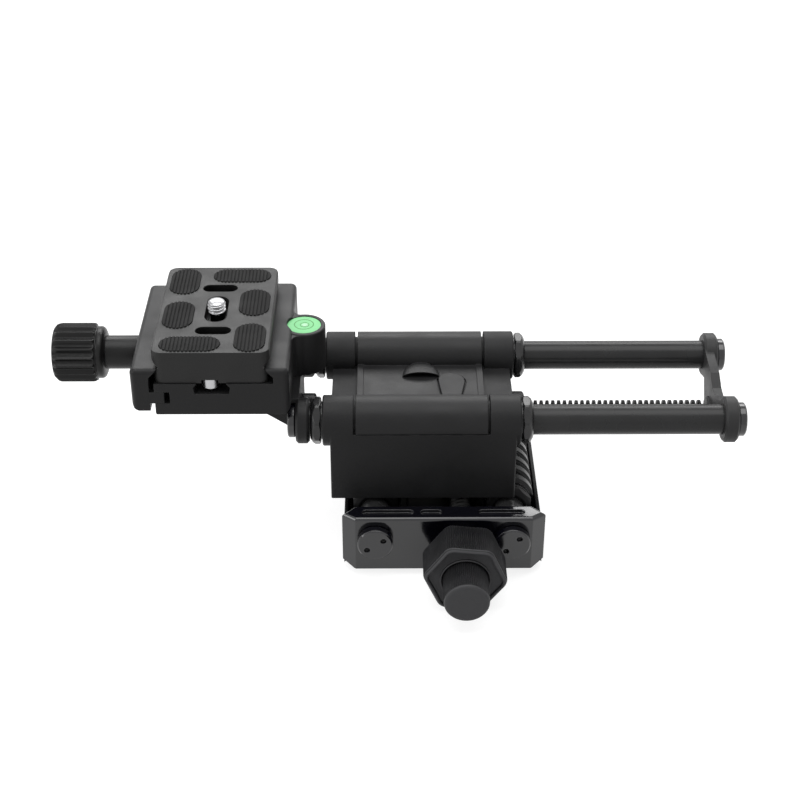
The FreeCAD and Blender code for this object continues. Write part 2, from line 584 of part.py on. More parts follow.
def drive_nut():
    """Brass block that runs on the lead screw."""
    y0, y1 = NUT_BLOCK_Y
    body = block(SCREW_X - 6.5, SCREW_X + 6.5, y0, y1, 5.4, BRIDGE[0])
    body = body.cut(along_y(LEAD_R + 0.05, y0 - 1, y1 + 1, SCREW_X, SCREW_Z))
    for x, y in NUT_SCREWS:
        body = body.cut(along_z(1.5, BRIDGE[0] - 3.0, BRIDGE[0] + 1, x, y))
    return body


def liner_x(x0, y):
    sleeve = along_x(LINER_R, x0, x0 + LINER_LENGTH, y, UPPER_Z)
    return sleeve.cut(along_x(BORE_R, x0 - 1, x0 + LINER_LENGTH + 1, y, UPPER_Z))


def liner_y(y0, x):
    sleeve = along_y(LINER_R, y0, y0 + LINER_LENGTH, x, LOWER_TUBE_Z)
    return sleeve.cut(along_y(BORE_R, y0 - 1, y0 + LINER_LENGTH + 1, x, LOWER_TUBE_Z))


def pinion():
    """Twelve-tooth pinion, in mesh with the rod above it."""
    half = 4.0
    tip = PINION_R + GEAR_MODULE * 0.85
    root = PINION_R - GEAR_MODULE * 1.15
    gear = along_y(root, SADDLE_Y - half, SADDLE_Y + half, PINION_X, PINION_Z)
    widths = [(root - 0.3, 0.385), (PINION_R, 0.315), (tip, 0.20)]
    outline = [(r, -w) for r, w in widths] + [(r, w) for r, w in reversed(widths)]
    teeth = []
    for i in range(PINION_TEETH):
        angle = 2 * math.pi * i / PINION_TEETH + math.pi / 2
        ca, sa = math.cos(angle), math.sin(angle)
        points = [Vector(PINION_X + r * ca - w * sa, SADDLE_Y - half, PINION_Z + r * sa + w * ca)
                  for r, w in outline]
        teeth.append(prism(points, Vector(0, 2 * half, 0)))
    gear = join(gear, *teeth)
    return gear.cut(along_y(PINION_SHAFT_R, SADDLE_Y - 9, SADDLE_Y + 9, PINION_X, PINION_Z))


def pinion_shaft():
    return turned([(WEBS_Y[0][0] - 0.5, PINION_SHAFT_R), (FOCUS_KNOB_Y[1], PINION_SHAFT_R),
                   (FOCUS_KNOB_Y[1], 1.5), (FOCUS_KNOB_Y[1] + 8.0, 1.5)],
                  Vector(PINION_X, 0, PINION_Z), AXIS_Y)


def pinion_bush(y0, y1):
    sleeve = along_y(4.0, y0, y1, PINION_X, PINION_Z)
    return sleeve.cut(along_y(PINION_SHAFT_R + 0.05, y0 - 1, y1 + 1, PINION_X, PINION_Z))


def focus_knob():
    y0, y1 = FOCUS_KNOB_Y
    knob = grooved_knob(9.0, y1 - y0, 30, 0.7, 0.8, Vector(PINION_X, y0, PINION_Z), AXIS_Y)
    return knob.cut(along_y(PINION_SHAFT_R, y0 - 1, y1 + 1, PINION_X, PINION_Z))


def focus_lock_knob():
    y0 = FOCUS_KNOB_Y[1] + 0.3
    knob = grooved_knob(5.5, 9.0, 24, 0.5, 0.7, Vector(PINION_X, y0, PINION_Z), AXIS_Y)
    return knob.cut(along_y(1.55, y0 - 1, FOCUS_KNOB_Y[1] + 8.2, PINION_X, PINION_Z))


# ---- upper rail ----
def toothed_rod():
    """Round rod with ring teeth along its length and plain ends held in the brackets."""
    start, end = HEAD_RING[1] + 1.6, ROD_BOSS_START - 0.4
    # a gap between two ring teeth stands over the pinion's top tooth
    first = PINION_X + 0.5 * GEAR_PITCH - math.floor((PINION_X - start) / GEAR_PITCH) * GEAR_PITCH
    count = int((end - first - 0.71) / GEAR_PITCH) + 1
    profile = [(HEAD_RING[0] + 0.5, 2.0), (start, 2.0), (start, ROD_ROOT_R)]
    for i in range(count):
        x = first + i * GEAR_PITCH
        profile += [(x - 0.71, ROD_ROOT_R), (x - 0.45, ROD_TIP_R),
                    (x + 0.45, ROD_TIP_R), (x + 0.71, ROD_ROOT_R)]
    profile += [(end, ROD_ROOT_R), (end, 2.0), (ROD_END, 2.0)]
    return turned(profile, Vector(0, SADDLE_Y, ROD_Z), AXIS_X)


def bracket_across_x(x0, x1, web_half, web):
    """Tube bracket of the upper rail, from x0 to x1; web is the web's extent along X."""
    bracket = tube_bracket(UPPER_TUBES_Y, x1 - x0, web_half, (web[0] - x0, web[1] - x0))
    bracket.translate(Vector(x0, 0, UPPER_Z))
    return bracket


def bracket_bores(shape, x0, x1):
    for y in UPPER_TUBES_Y:
        shape = shape.cut(along_x(TUBE_R, x0 - 5, x1 + 5, y, UPPER_Z))
    return shape


def end_bracket():
    """Right end of the upper rail: two rings and a web that hangs down to the toothed rod's boss."""
    x0, x1 = END_RING
    rings = [chamfered(RING_R, x1 - x0, 0.8, Vector(x0, y, UPPER_Z), AXIS_X) for y in UPPER_TUBES_Y]
    web = prism([Vector(x0, y, z) for y, z in END_WEB], Vector(END_WEB_END - x0, 0, 0))
    boss = chamfered(5.0, x1 - ROD_BOSS_START - 0.6, 0.5, Vector(ROD_BOSS_START, SADDLE_Y, ROD_Z), AXIS_X)
    bracket = bracket_bores(join(rings[0], rings[1], web, boss), x0, x1)
    return bracket.cut(along_x(2.0, x0 - 5, ROD_END, SADDLE_Y, ROD_Z))


def head_bracket():
    """Left end of the upper rail: rings, a sloping wedge and the flange under the clamp."""
    x0, x1 = HEAD_RING
    right = HEAD_WEB_END
    top = CLAMP_BOTTOM
    bracket = bracket_across_x(x0, x1, 5.0, (x0 + 0.2, right))
    y0, y1 = FRONT_Y + 8.4, REAR_Y - 8.4
    low = ROD_Z - 4.5
    wedge = prism([Vector(-77.6, y0, top), Vector(right, y0, top), Vector(right, y0, low),
                   Vector(x0 + 0.4, y0, low), Vector(x0, y0, ROD_Z + 0.1), Vector(-77.0, y0, top - 0.6)],
                  Vector(0, y1 - y0, 0))
    flange = block(-73.0, right, FRONT_Y + 1.0, REAR_Y - 1.0, top - 3.0, top)
    boss = chamfered(6.4, x1 + 1.3 - right + 0.1, 0.5, Vector(right - 0.1, SADDLE_Y, ROD_Z), AXIS_X)
    clear = [along_x(CAP_R + 0.5, x0 - 30, x0, y, UPPER_Z) for y in UPPER_TUBES_Y]
    bracket = bracket_bores(join(bracket, wedge, flange, boss), x0, x1)
    bracket = cut(bracket, *clear)
    bracket = bracket.cut(along_x(2.0, x0 + 0.5, x1 + 5, SADDLE_Y, ROD_Z))
    for x, y in HEAD_SCREWS:
        bracket = bracket.cut(along_z(1.55, top - 30, top + 1, x, y))
        bracket = bracket.cut(along_z(3.0, top - 30, top - 2.0, x, y))
    return bracket


def head_screw(x, y):
    top = CLAMP_BOTTOM
    return turned([(0, 2.8), (1.6, 2.8), (1.6, 1.5), (7.6, 1.5)], Vector(x, y, top - 3.6), AXIS_Z)


# ---- head ----
def across_clamp(outline, span):
    """Prism along Y, over span, of an outline given as (distance from the plate's middle, height)."""
    points = [Vector(CLAMP_X + u, span[0], z) for u, z in outline]
    return prism(points, Vector(0, span[1] - span[0], 0))


def round_corners(shape, u0, u1, span, top, radius, edge_r):
    """Round the upright corners of a clamp piece, and its top edges where edge_r isn't zero."""
    room = block(CLAMP_X + u0, CLAMP_X + u1, span[0], span[1], CLAMP_BOTTOM - 5, top)
    room = rounded(room, radius, lambda e: is_parallel(e, AXIS_Z))
    if edge_r > 0:
        room = rounded(room, edge_r, lambda e: all(abs(v.Point.z - top) < 1e-6 for v in e.Vertexes))
    return shape.common(room)


def clamp_body():
    """Fixed half of the dovetail clamp, with the lug of the round level."""
    lip = DOVETAIL_HALF - 1.05
    outline = [(-19.3, CLAMP_BOTTOM + 0.4), (-18.9, CLAMP_BOTTOM), (24.6, CLAMP_BOTTOM),
               (26.0, CLAMP_BOTTOM + 1.6), (26.0, JAW_TOP), (lip, JAW_TOP), (lip + 2.85, JAW_TOP - 2.85),
               (lip + 2.85, CLAMP_FLOOR), (-19.3, CLAMP_FLOOR)]
    body = across_clamp(outline, CLAMP_BODY_Y)
    body = round_corners(body, -40.0, 26.0, CLAMP_BODY_Y, JAW_TOP, 2.2, CLAMP_EDGE_R)
    lug_x, lug_y = LEVEL
    lug = chamfered(7.5, LEVEL_TOP - CLAMP_BOTTOM, 0.3, Vector(lug_x, lug_y, CLAMP_BOTTOM), AXIS_Z)
    wall = CLAMP_X + 26.0
    flare = [(wall - 4.0, 9.8), (wall, 9.8), (wall + 0.35, 8.7), (wall + 1.3, 7.75), (lug_x - 0.7, 7.47)]
    outline = [(x, lug_y + y) for x, y in flare] + [(x, lug_y - y) for x, y in reversed(flare)]
    bridge = prism([Vector(x, y, CLAMP_BOTTOM) for x, y in outline],
                   Vector(0, 0, LEVEL_TOP - 0.3 - CLAMP_BOTTOM))
    body = join(body, lug, bridge)
    body = body.cut(along_z(LEVEL_R + 0.05, LEVEL_TOP - 5.0, LEVEL_TOP + 1, lug_x, lug_y))
    whole = (CLAMP_BODY_Y[0] - 1, CLAMP_BODY_Y[1] + 1)
    channel = across_clamp([(-5.8, 62.4), (5.8, 62.4), (6.2, 64.8), (5.0, CLAMP_FLOOR), (5.0, 67.5),
                            (-5.0, 67.5), (-5.0, CLAMP_FLOOR), (-6.2, 64.8)], whole)
    slot = across_clamp([(-21.0, TONGUE[0] - 0.1), (-14.2, TONGUE[0] - 0.1), (-14.2, TONGUE[1] + 0.1),
                         (-21.0, TONGUE[1] + 0.1)], whole)
    body = cut(body, channel, slot)
    body = body.cut(along_x(CLAMP_SCREW_R + 0.05, CLAMP_X - 21, CLAMP_X - 7.6, SADDLE_Y, CLAMP_AXIS_Z))
    for y in GUIDE_PINS_Y:
        body = body.cut(along_x(2.05, CLAMP_X - 21, CLAMP_X - 7.6, y, CLAMP_AXIS_Z))
    for x, y in HEAD_SCREWS:
        body = body.cut(along_z(1.5, CLAMP_BOTTOM - 1, CLAMP_BOTTOM + 4.5, x, y))
    return body


def clamp_jaw():
    """Movable jaw with a tongue that runs in the body's slot."""
    lip = DOVETAIL_HALF - 1.05
    low = CLAMP_BOTTOM + 1.5
    outline = [(-21.0, low), (-21.0, TONGUE[0]), (-16.1, TONGUE[0]), (-16.1, TONGUE[1]), (-21.0, TONGUE[1]),
               (-21.0, CLAMP_FLOOR), (-lip - 2.85, JAW_TOP - 2.85), (-lip, JAW_TOP),
               (-27.2, JAW_TOP), (-27.2, low + 2.3), (-26.5, low + 0.7), (-24.9, low)]
    jaw = across_clamp(outline, CLAMP_JAW_Y)
    jaw = round_corners(jaw, -27.2, 10.0, CLAMP_JAW_Y, JAW_TOP, 2.0, CLAMP_EDGE_R)
    jaw = jaw.cut(along_x(CLAMP_SCREW_R + 0.05, CLAMP_X - 30, CLAMP_X - 10, SADDLE_Y, CLAMP_AXIS_Z))
    for y in GUIDE_PINS_Y:
        jaw = jaw.cut(along_x(2.0, CLAMP_X - 24, CLAMP_X - 10, y, CLAMP_AXIS_Z))
    return jaw


def clamp_screw():
    return along_x(CLAMP_SCREW_R, CLAMP_X - 50, CLAMP_X - 9, SADDLE_Y, CLAMP_AXIS_Z)


def clamp_knob():
    """Fluted knob, a flange ring, a cone and the long sleeve that pushes the jaw."""
    x0 = CLAMP_X - 57.6
    sleeve_end = CLAMP_X - 27.3
    flutes = 20
    knob_length = 14.9
    origin = Vector(x0, SADDLE_Y, CLAMP_AXIS_Z)
    knob = grooved_knob(10.4, knob_length, flutes, 1.05, 1.2, origin, AXIS_X)
    neck = turned([(knob_length - 0.6, 9.2), (knob_length + 1.9, 9.2), (knob_length + 2.7, 8.6),
                   (knob_length + 3.3, 7.2), (knob_length + 3.3, 5.95), (sleeve_end - x0 - 0.4, 5.95),
                   (sleeve_end - x0, 5.5)], origin, AXIS_X)
    knob = join(knob, neck)
    return knob.cut(along_x(CLAMP_SCREW_R, CLAMP_X - 50, sleeve_end + 1, SADDLE_Y, CLAMP_AXIS_Z))


def guide_pin(y):
    return chamfered(2.0, 15.0, 0.3, Vector(CLAMP_X - 24, y, CLAMP_AXIS_Z), AXIS_X)


def quick_release_plate():
    """Dovetail plate with two cross slots, a stepped slot for the camera screw and pad seats."""
    half = DOVETAIL_HALF
    right = [(half, PLATE_BOTTOM), (half, 70.4), (half - 1.7, 72.1), (19.7, 74.5), (19.7, PLATE_TOP - 0.5),
             (19.2, PLATE_TOP)]
    plate = across_clamp(right + [(-u, z) for u, z in reversed(right)], PLATE_Y)
    plate = round_corners(plate, -19.7, 19.7, PLATE_Y, PLATE_TOP + 5, 3.6, 0)
    for dy in (-14.8, 14.8):
        plate = plate.cut(stadium(CLAMP_X, SADDLE_Y + dy, 12.2, 5.0, PLATE_BOTTOM - 1, PLATE_TOP + 1))
    for width, length, z0, z1 in ((14.4, 22.0, PLATE_BOTTOM - 1, SCREW_LEDGE[0]),
                                  (2 * CAMERA_NECK_R + 0.1, 15.2, PLATE_BOTTOM, PLATE_TOP),
                                  (7.6, 17.8, SCREW_LEDGE[1], PLATE_TOP + 1)):
        plate = plate.cut(stadium(CLAMP_X, SADDLE_Y, width, length, z0, z1))
    x, y = STOP_SCREW
    reach, roof = STOP_SCREW_R + 0.1, PLATE_BOTTOM + 1.2
    plate = cut(plate, along_z(reach, PLATE_BOTTOM - 1, roof, x, y),
                along_z(1.5, PLATE_BOTTOM, roof + 5.8, x, y),
                block(x - reach, x + reach, PLATE_Y[0] - 1, y, PLATE_BOTTOM - 1, roof))
    for x, y, width, length in PADS:
        plate = plate.cut(stadium(x, y, width, length, PLATE_TOP - PAD_SEAT, PLATE_TOP + 1))
    return plate


def stop_screw():
    """Round-headed screw under the plate's front end; its head runs in the clamp's channel."""
    head_top = PLATE_BOTTOM + 1.2
    return turned([(-4.2, 1.7), (-3.9, 2.3), (-3.5, STOP_SCREW_R), (0, STOP_SCREW_R), (0, 1.5), (5.6, 1.5)],
                  Vector(STOP_SCREW[0], STOP_SCREW[1], head_top), AXIS_Z)


def rubber_pad(x, y, width, length):
    """Pad set in the plate's top, ribbed along Y."""
    top = PLATE_TOP + 0.35
    pad = stadium(x, y, width - 0.1, length - 0.1, PLATE_TOP - PAD_SEAT, top)
    pitch = 1.27
    grooves = int(width / pitch)
    lanes = [block(x + (i - grooves / 2) * pitch - 0.25, x + (i - grooves / 2) * pitch + 0.25,
                   y - length, y + length, top - 0.45, top + 1) for i in range(1, grooves)]
    return pad.cut(Part.makeCompound(lanes))


def camera_screw():
    """1/4 inch captive screw: slotted head in the plate's well, thin neck through the plate's slot."""
    low, high = 66.9, SCREW_LEDGE[0] - 0.2
    start, end = CAMERA_THREAD
    profile = [(low, 5.4), (low + 0.4, 5.8), (high, 5.8), (high, CAMERA_NECK_R), (start - 0.4, CAMERA_NECK_R),
               (start, CAMERA_SCREW_R), (end, CAMERA_SCREW_R), (end + 0.5, 2.7), (end + 0.8, 1.9),
               (end + 0.9, 0.8)]
    screw = turned(profile, Vector(CLAMP_X, SADDLE_Y, 0), AXIS_Z)
    return screw.cut(block(CLAMP_X - 7, CLAMP_X + 7, SADDLE_Y - 0.6, SADDLE_Y + 0.6, 66, low + 1.4))


def bubble_vial():
    """Clear level vial with a low dome on top."""
    profile = [(0, LEVEL_R), (4.3, LEVEL_R), (4.7, LEVEL_R - 0.5), (5.0, LEVEL_R - 1.8),
               (5.15, LEVEL_R - 3.6)]
    return turned(profile, Vector(LEVEL[0], LEVEL[1], LEVEL_TOP - 5.0), AXIS_Z)


def build():
    os.makedirs("parts", exist_ok=True)
    tube_ends = (HEAD_RING[0], END_RING[1])

    save("front_end_plate", front_end_plate())
    save("base_plate", base_plate())
    save("rear_bracket", rear_bracket())
    save("tripod_insert", tripod_insert())
    save("base_screws", *[countersunk_screw(x, y, 0, 1, length) for x, y, length in BASE_SCREWS])
    save("lower_tubes", *[along_y(TUBE_R, RAIL_FRONT, RAIL_BACK, x, LOWER_TUBE_Z) for x in LOWER_TUBES_X])
    save("lower_front_caps",
         *[tube_cap(Vector(x, RAIL_FRONT, LOWER_TUBE_Z), -AXIS_Y, pins, LOWER_CAP_R, LOWER_CAP_THICK)
           for x, pins in ((-LOWER_TUBE_X, 34), (LOWER_TUBE_X, 49))])
    save("lower_rear_caps",
         *[tube_cap(Vector(x, RAIL_BACK, LOWER_TUBE_Z), AXIS_Y, 40, CAP_R, CAP_THICK)
           for x in LOWER_TUBES_X])
    save("lead_screw", lead_screw())
    save("thrust_collar", thrust_collar())
    save("screw_bush", screw_bush())
    save("drive_knob", drive_knob())
    save("lock_knob", lock_knob())

    save("upper_saddle", upper_saddle())
    save("top_cover", top_cover())
    save("lower_saddle", lower_saddle())
    save("saddle_screws", *[countersunk_screw(x, y, DECK[1], -1, 12.0) for x, y in SADDLE_SCREWS])
    save("upper_nuts", *[faceted_nut(Vector(x, y, UPPER_Z), AXIS_X * way)
                         for y in UPPER_TUBES_Y for x, way in ((BARREL_X[0], -1), (BARREL_X[1], 1))])
    save("lower_nuts", *[faceted_nut(Vector(x, y, LOWER_TUBE_Z), AXIS_Y * way)
                         for x in LOWER_TUBES_X
                         for y, way in ((LOWER_BARREL_Y[0], -1), (LOWER_BARREL_Y[1], 1))])
    save("upper_liners", *[liner_x(x, y) for y in UPPER_TUBES_Y
                           for x in (BARREL_X[0], BARREL_X[1] - LINER_LENGTH)])
    save("lower_liners", *[liner_y(y, x) for x in LOWER_TUBES_X
                           for y in (LOWER_BARREL_Y[0], LOWER_BARREL_Y[1] - LINER_LENGTH)])
    save("drive_nut", drive_nut())
    save("nut_screws", *[countersunk_screw(x, y, BRIDGE[1], -1, BRIDGE[1] - BRIDGE[0] + 2.8)
                         for x, y in NUT_SCREWS])
    save("pinion", pinion())
    save("pinion_shaft", pinion_shaft())
    save("pinion_bushes", *[pinion_bush(a, b) for a, b in WEBS_Y])
    save("focus_knob", focus_knob())
    save("focus_lock_knob", focus_lock_knob())

    save("upper_tubes", *[along_x(TUBE_R, tube_ends[0], tube_ends[1], y, UPPER_Z) for y in UPPER_TUBES_Y])
    save("toothed_rod", toothed_rod())
    save("end_bracket", end_bracket())
    save("head_bracket", head_bracket())
    save("upper_left_caps", *[tube_cap(Vector(tube_ends[0], y, UPPER_Z), -AXIS_X, 40, CAP_R, CAP_THICK)
                              for y in UPPER_TUBES_Y])
    save("upper_right_caps", *[tube_cap(Vector(tube_ends[1], y, UPPER_Z), AXIS_X, 40, CAP_R, CAP_THICK)
                               for y in UPPER_TUBES_Y])

    save("head_screws", *[head_screw(x, y) for x, y in HEAD_SCREWS])
    save("clamp_body", clamp_body())
    save("clamp_jaw", clamp_jaw())
    save("clamp_screw", clamp_screw())
    save("clamp_knob", clamp_knob())
    save("guide_pins", *[guide_pin(y) for y in GUIDE_PINS_Y])
    save("bubble_vial", bubble_vial())
    save("quick_release_plate", quick_release_plate())
    save("rubber_pads", *[rubber_pad(*pad) for pad in PADS])
    save("camera_screw", camera_screw())
    save("stop_screw", stop_screw())


build()
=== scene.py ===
import math

import bmesh
import bpy
from mathutils import Euler, Matrix, Vector


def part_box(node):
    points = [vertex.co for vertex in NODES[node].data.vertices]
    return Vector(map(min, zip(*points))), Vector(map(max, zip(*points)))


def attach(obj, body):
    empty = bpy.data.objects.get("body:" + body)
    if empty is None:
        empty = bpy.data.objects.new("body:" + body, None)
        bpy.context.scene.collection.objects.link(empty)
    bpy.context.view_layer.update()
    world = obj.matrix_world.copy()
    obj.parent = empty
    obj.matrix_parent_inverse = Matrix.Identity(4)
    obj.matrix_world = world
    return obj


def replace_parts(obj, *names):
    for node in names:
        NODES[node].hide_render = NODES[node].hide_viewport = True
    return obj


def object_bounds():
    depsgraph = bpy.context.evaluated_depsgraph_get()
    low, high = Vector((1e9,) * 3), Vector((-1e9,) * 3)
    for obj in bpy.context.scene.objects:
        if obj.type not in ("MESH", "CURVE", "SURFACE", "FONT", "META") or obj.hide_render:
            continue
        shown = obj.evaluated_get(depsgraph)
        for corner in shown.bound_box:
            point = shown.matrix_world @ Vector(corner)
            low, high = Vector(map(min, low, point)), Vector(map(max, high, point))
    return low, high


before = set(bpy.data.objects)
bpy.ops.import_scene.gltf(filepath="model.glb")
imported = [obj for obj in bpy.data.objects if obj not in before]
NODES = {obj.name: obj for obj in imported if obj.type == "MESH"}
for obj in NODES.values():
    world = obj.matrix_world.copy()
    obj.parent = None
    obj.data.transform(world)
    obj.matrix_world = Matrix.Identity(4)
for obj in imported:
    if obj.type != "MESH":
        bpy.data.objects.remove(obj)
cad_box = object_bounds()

MM = 0.001
UP = (0, 0, 1)

# ---- camera: place in metres, angles in degrees ----
CAMERA_PLACE = (-0.0190, -0.4991, 0.3516)
CAMERA_DOWN, CAMERA_TURN, CAMERA_ROLL = 32.8, -0.5, 0.118

# ---- studio ----
WORLD_STRENGTH = 0.45       # soft light on the object
FLOOR_GREY = 0.36           # the floor's own colour, which takes the shadow
FLOOR_GLOW = 0.82           # with it, the lit floor comes out white to the eye
FLOOR_HALF = 4.0            # half a side, in metres
FLOOR_GAP = 0.0001          # between the floor and the object, in metres
MIDDLE = (0.0, 0.0, 0.03)   # the lamps point here


# ================= camera, floor and light =================
def make_camera():
    """Camera that sees the object as the photo does."""
    data = bpy.data.cameras.new("camera")
    data.lens = 72.0
    data.sensor_width = 36.0
    data.sensor_fit = "HORIZONTAL"
    data.clip_start = 0.01
    data.clip_end = 20.0
    cam = bpy.data.objects.new("camera", data)
    cam.location = CAMERA_PLACE
    turn = Euler((math.radians(90 - CAMERA_DOWN), 0.0, math.radians(CAMERA_TURN))).to_matrix()
    roll = Matrix.Rotation(math.radians(CAMERA_ROLL), 3, "Z")
    cam.rotation_euler = (turn @ roll).to_euler()
    bpy.context.scene.collection.objects.link(cam)
    bpy.context.scene.camera = cam


def node_tree(name):
    mat = bpy.data.materials.new(name)
    mat.use_nodes = True
    tree = mat.node_tree
    tree.nodes.clear()
    return mat, tree


def math_node(tree, operation, first, second):
    """Output of a sum on a socket and a second socket or number."""
    node = tree.nodes.new("ShaderNodeMath")
    node.operation = operation
    tree.links.new(first, node.inputs[0])
    if isinstance(second, float):
        node.inputs[1].default_value = second
    else:
        tree.links.new(second, node.inputs[1])
    return node.outputs[0]


def seen_rays(tree):
    """1 for the rays that may see the white studio: camera, mirror and see-through rays."""
    path = tree.nodes.new("ShaderNodeLightPath")
    direct = math_node(tree, "MAXIMUM", path.outputs["Is Camera Ray"], path.outputs["Is Glossy Ray"])
    return math_node(tree, "MAXIMUM", direct, path.outputs["Is Transmission Ray"])


def make_floor(z):
    """Pale floor: white to the eye and in reflections, with the object's soft shadow."""
    mat, tree = node_tree("floor")
    out = tree.nodes.new("ShaderNodeOutputMaterial")
    diffuse = tree.nodes.new("ShaderNodeBsdfDiffuse")
    diffuse.inputs["Color"].default_value = (FLOOR_GREY, FLOOR_GREY, FLOOR_GREY, 1)
    glow = tree.nodes.new("ShaderNodeEmission")
    glow.inputs["Color"].default_value = (1, 1, 1, 1)
    tree.links.new(math_node(tree, "MULTIPLY", seen_rays(tree), FLOOR_GLOW), glow.inputs["Strength"])
    both = tree.nodes.new("ShaderNodeAddShader")
    tree.links.new(diffuse.outputs[0], both.inputs[0])
    tree.links.new(glow.outputs[0], both.inputs[1])
    tree.links.new(both.outputs[0], out.inputs["Surface"])
    mesh = bpy.data.meshes.new("floor")
    corners = [(x * FLOOR_HALF, y * FLOOR_HALF, z) for x, y in ((-1, -1), (1, -1), (1, 1), (-1, 1))]
    mesh.from_pydata(corners, [], [(0, 1, 2, 3)])
    obj = bpy.data.objects.new("floor", mesh)
    mesh.materials.append(mat)
    bpy.context.scene.collection.objects.link(obj)


def make_world():
    """Soft white light; white to the eye, in reflections and through clear things."""
    world = bpy.data.worlds.new("studio")
    world.use_nodes = True
    tree = world.node_tree
    tree.nodes.clear()
    out = tree.nodes.new("ShaderNodeOutputWorld")
    soft = tree.nodes.new("ShaderNodeBackground")
    soft.inputs["Color"].default_value = (1, 1, 1, 1)
    soft.inputs["Strength"].default_value = WORLD_STRENGTH
    white = tree.nodes.new("ShaderNodeBackground")
    white.inputs["Color"].default_value = (1, 1, 1, 1)
    white.inputs["Strength"].default_value = 1.0
    mix = tree.nodes.new("ShaderNodeMixShader")
    tree.links.new(seen_rays(tree), mix.inputs[0])
    tree.links.new(soft.outputs[0], mix.inputs[1])
    tree.links.new(white.outputs[0], mix.inputs[2])
    tree.links.new(mix.outputs[0], out.inputs["Surface"])
    bpy.context.scene.world = world


def area_light(name, place, size_x, size_y, watts):
    """Rectangular lamp that points at the middle of the object."""
    data = bpy.data.lights.new(name, "AREA")
    data.shape = "RECTANGLE"
    data.size = size_x
    data.size_y = size_y
    data.energy = watts
    obj = bpy.data.objects.new(name, data)
    obj.location = place
    aim = Vector(MIDDLE) - Vector(place)
    obj.rotation_euler = aim.to_track_quat("-Z", "Y").to_euler()
    bpy.context.scene.collection.objects.link(obj)


def make_lights():
    area_light("back_top", (0.0, 0.75, 0.65), 1.0, 0.35, 6.0)
    area_light("top", (0.0, -0.05, 0.9), 0.9, 0.6, 5.0)
    area_light("left", (-0.8, -0.3, 0.45), 0.3, 0.6, 2.5)


# ================= materials =================
# lengths in metres, noise scales per metre
CLOUD_SCALE = 90.0      # soft mottling
PATCH_SCALE = 260.0     # which stretches of an edge get the lighter edge colour, partly wear and partly painted highlight
BUMP_DEPTH = 0.0002     # height of the grain
EDGE_REACH = 1.6        # radius of the rounding that finds an edge, for each unit of the width of its lighter band (wear and painted highlight)


def principled(name):
    """New material with a principled shader on its output."""
    mat, tree = node_tree(name)
    out = tree.nodes.new("ShaderNodeOutputMaterial")
    shader = tree.nodes.new("ShaderNodeBsdfPrincipled")
    tree.links.new(shader.outputs[0], out.inputs["Surface"])
    return mat, tree, shader


def roughened(tree, shader, height, strength):
    """Bump on a shader's normal, from a height."""
    bumps = tree.nodes.new("ShaderNodeBump")
    bumps.inputs["Strength"].default_value = strength
    bumps.inputs["Distance"].default_value = BUMP_DEPTH
    tree.links.new(height, bumps.inputs["Height"])
    tree.links.new(bumps.outputs[0], shader.inputs["Normal"])
    return bumps


def make_noise(tree, vector, scale, detail):
    noise = tree.nodes.new("ShaderNodeTexNoise")
    noise.inputs["Scale"].default_value = scale
    noise.inputs["Detail"].default_value = detail
    tree.links.new(vector, noise.inputs["Vector"])
    return noise.outputs["Fac"]


def object_place(tree):
    """Object coordinates in metres."""
    return tree.nodes.new("ShaderNodeTexCoord").outputs["Object"]


def ramp(tree, value, stops):
    """Colour ramp; stops are (position, grey or colour)."""
    node = tree.nodes.new("ShaderNodeValToRGB")
    while len(node.color_ramp.elements) < len(stops):
        node.color_ramp.elements.new(0.5)
    for element, (position, colour) in zip(node.color_ramp.elements, stops):
        element.position = position
        if not isinstance(colour, tuple):
            colour = (colour, colour, colour)
        element.color = (*colour, 1)
    tree.links.new(value, node.inputs["Fac"])
    return node.outputs["Color"]


def mixed(tree, factor, low, high):
    """Colour between low and high, which may be colours or sockets."""
    node = tree.nodes.new("ShaderNodeMix")
    node.data_type = "RGBA"
    tree.links.new(factor, node.inputs[0])
    for socket, value in ((node.inputs[6], low), (node.inputs[7], high)):
        if isinstance(value, tuple):
            socket.default_value = (*value, 1)
        else:
            tree.links.new(value, socket)
    return node.outputs[2]


def edge_mask(tree, radius):
    """1 along the edges, from how far a rounded normal leaves the true one; and that normal."""
    bevel = tree.nodes.new("ShaderNodeBevel")
    bevel.samples = 6
    bevel.inputs["Radius"].default_value = radius
    geometry = tree.nodes.new("ShaderNodeNewGeometry")
    dot = tree.nodes.new("ShaderNodeVectorMath")
    dot.operation = "DOT_PRODUCT"
    tree.links.new(bevel.outputs[0], dot.inputs[0])
    tree.links.new(geometry.outputs["Normal"], dot.inputs[1])
    spread = tree.nodes.new("ShaderNodeMapRange")
    spread.inputs["From Min"].default_value = 0.995
    spread.inputs["From Max"].default_value = 0.80
    tree.links.new(dot.outputs["Value"], spread.inputs["Value"])
    return spread.outputs["Result"], bevel.outputs[0]


